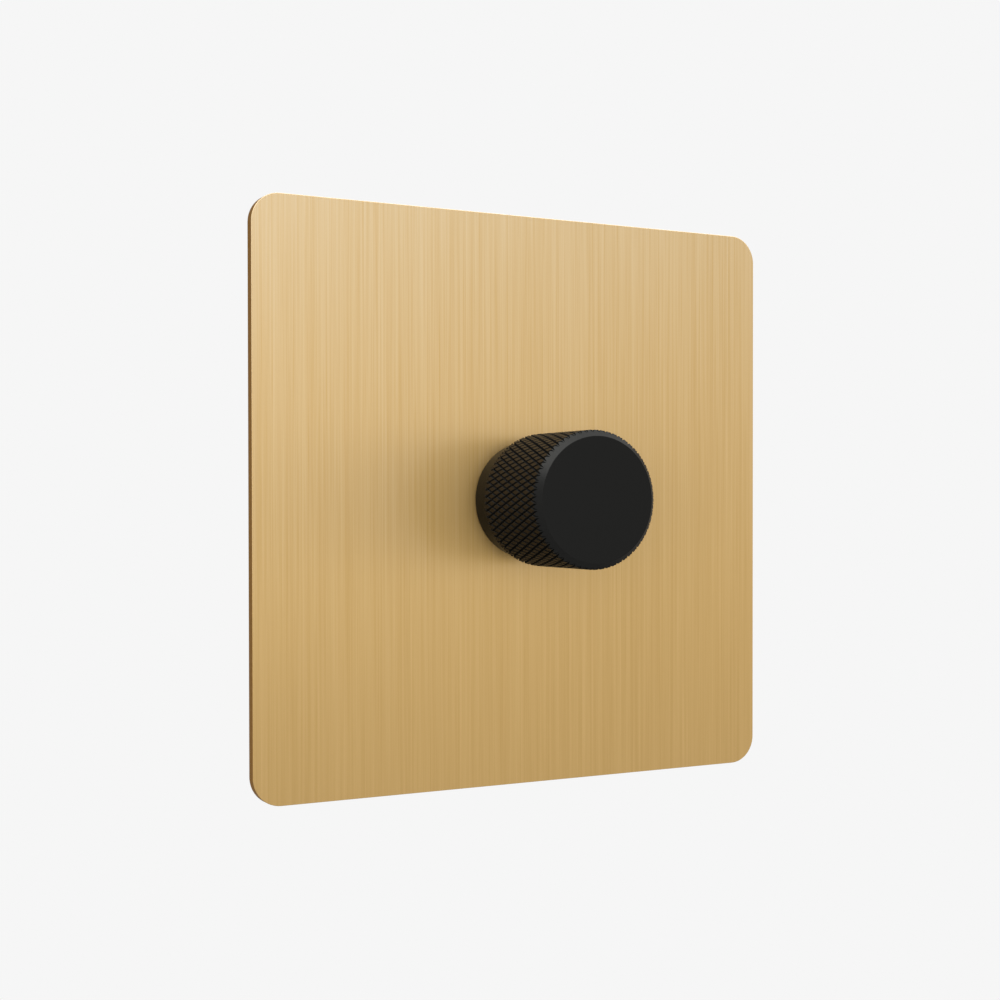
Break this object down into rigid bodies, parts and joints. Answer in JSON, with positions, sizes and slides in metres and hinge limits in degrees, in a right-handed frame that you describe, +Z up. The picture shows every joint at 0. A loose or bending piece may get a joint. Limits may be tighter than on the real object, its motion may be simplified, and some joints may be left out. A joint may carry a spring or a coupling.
{
  "type": "smart dimmer switch",
  "caption": "Wall-mounted rotary dimmer: square brushed brass plate, black diamond-knurled knob that turns endlessly and pushes, and a boxed module behind.",
  "frame": {"origin": "on the wall plane, midway between the two box screws, behind the knob", "axes": "+Y into the wall along the knob's axis, +Z up, +X right as seen from the room"},
  "size_m": [0.086, 0.0511, 0.086],
  "materials": {
    "brushed_brass": "brushed, satin lacquer",
    "black_anodised": "black anodised, satin",
    "black_moulding": "moulded, fine grain",
    "white_moulding": "moulded, fine grain",
    "grey_rubber": "soft, matt",
    "zinc_steel": "zinc plated",
    "plain_brass": "plain, machined",
    "bare_aluminium": "milled",
    "circuit_board": "solder-masked laminate",
    "dark_component": "moulded",
    "ferrite": "pressed ceramic",
    "copper_wire": "enamelled copper",
    "amber_component": "moulded",
    "soft_pad": "heat-conducting pad"
  },
  "bodies": {
    "base": {"front_plate": "brushed_brass", "plate_carrier": "black_moulding", "mounting_yoke": "zinc_steel", "wall_gasket": "grey_rubber", "yoke_screws": "zinc_steel", "earth_terminal": "plain_brass", "earth_screw": "zinc_steel", "module_housing": "black_moulding", "heat_sink_plate": "bare_aluminium", "encoder_bush": "zinc_steel", "lock_washer": "zinc_steel", "fixing_nut": "zinc_steel", "encoder_case": "dark_component", "encoder_base": "dark_component", "switch_leaf": "zinc_steel", "control_board": "circuit_board", "power_board": "circuit_board", "board_header": "dark_component", "radio_module": "circuit_board", "radio_shield": "zinc_steel", "mosfets": "dark_component", "thermal_pad": "soft_pad", "fuse": "dark_component", "film_capacitor": "amber_component", "bulk_capacitor": "dark_component", "choke_core": "ferrite", "choke_winding": "copper_wire", "terminal_pillars": "plain_brass", "terminal_screws": "zinc_steel"},
    "knob_and_shaft": {"knob": "black_anodised", "knob_insert": "black_moulding", "insert_spring": "zinc_steel", "encoder_shaft": "zinc_steel"},
    "rotor": {"encoder_rotor": "white_moulding"}
  },
  "joints": [
    {"name": "knob_turn", "type": "hinge", "parent": "base", "child": "rotor", "pos_m": [0, 0, 0], "axis": [0, 1, 0], "continuous": true},
    {"name": "knob_push", "type": "slide", "parent": "rotor", "child": "knob_and_shaft", "axis": [0, 1, 0], "range_m": [0, 0.0005], "stiffness_N_per_m": 4000, "springref_m": -0.0005, "deforming": ["switch_leaf"]}
  ]
}
